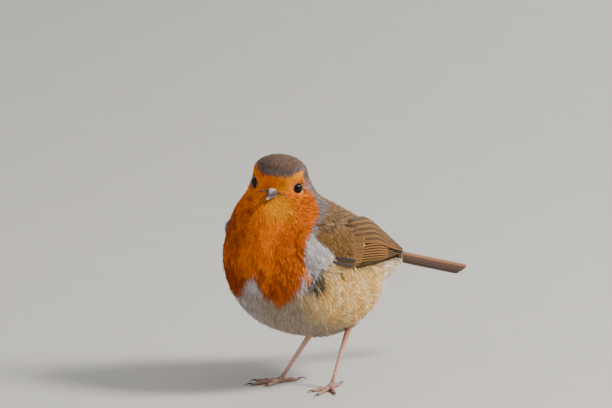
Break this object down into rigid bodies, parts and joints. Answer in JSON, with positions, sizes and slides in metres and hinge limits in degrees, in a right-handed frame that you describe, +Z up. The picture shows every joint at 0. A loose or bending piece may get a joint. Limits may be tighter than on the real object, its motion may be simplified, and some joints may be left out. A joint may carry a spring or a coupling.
{
  "type": "robin",
  "caption": "Still life-size model of a European robin standing at rest, head turned to its left, wings and tail folded, plumage fluffed out into a round breast.",
  "frame": {"origin": "on the floor, under the middle of the bird's box", "axes": "+Z up; the tail points along +Y and the breast faces -Y; +X is the bird's left side, towards which the head is turned"},
  "size_m": [0.056, 0.1242, 0.1006],
  "materials": {
    "plumage": "soft fluffed body feathers: orange face and breast with a blue-grey edge, olive-brown back, buff flanks, white belly",
    "wing_feathers": "olive-brown flight feathers and coverts with pale edges and buff spots",
    "tail_feathers": "warm brown tail feathers, satin",
    "eye": "glossy near-black glass eye",
    "bill": "satin dark horn with paler edges",
    "leg_skin": "scaly pinkish-brown skin, satin",
    "claw": "satin dark horn"
  },
  "bodies": {
    "root": {"head": "plumage", "eye_left": "eye", "eye_right": "eye", "bill_upper": "bill", "bill_lower": "bill", "neck": "plumage", "trunk": "plumage", "rump": "plumage", "tail": "tail_feathers", "wing_coverts_left": "wing_feathers", "wing_tertials_left": "wing_feathers", "wing_secondaries_left": "wing_feathers", "wing_primaries_left": "wing_feathers", "thigh_left": "plumage", "tarsus_left": "leg_skin", "foot_left": "leg_skin", "toe_inner_left": "leg_skin", "claw_inner_left": "claw", "toe_middle_left": "leg_skin", "claw_middle_left": "claw", "toe_outer_left": "leg_skin", "claw_outer_left": "claw", "toe_hind_left": "leg_skin", "claw_hind_left": "claw", "wing_coverts_right": "wing_feathers", "wing_tertials_right": "wing_feathers", "wing_secondaries_right": "wing_feathers", "wing_primaries_right": "wing_feathers", "thigh_right": "plumage", "tarsus_right": "leg_skin", "foot_right": "leg_skin", "toe_inner_right": "leg_skin", "claw_inner_right": "claw", "toe_middle_right": "leg_skin", "claw_middle_right": "claw", "toe_outer_right": "leg_skin", "claw_outer_right": "claw", "toe_hind_right": "leg_skin", "claw_hind_right": "claw"}
  },
  "joints": []
}
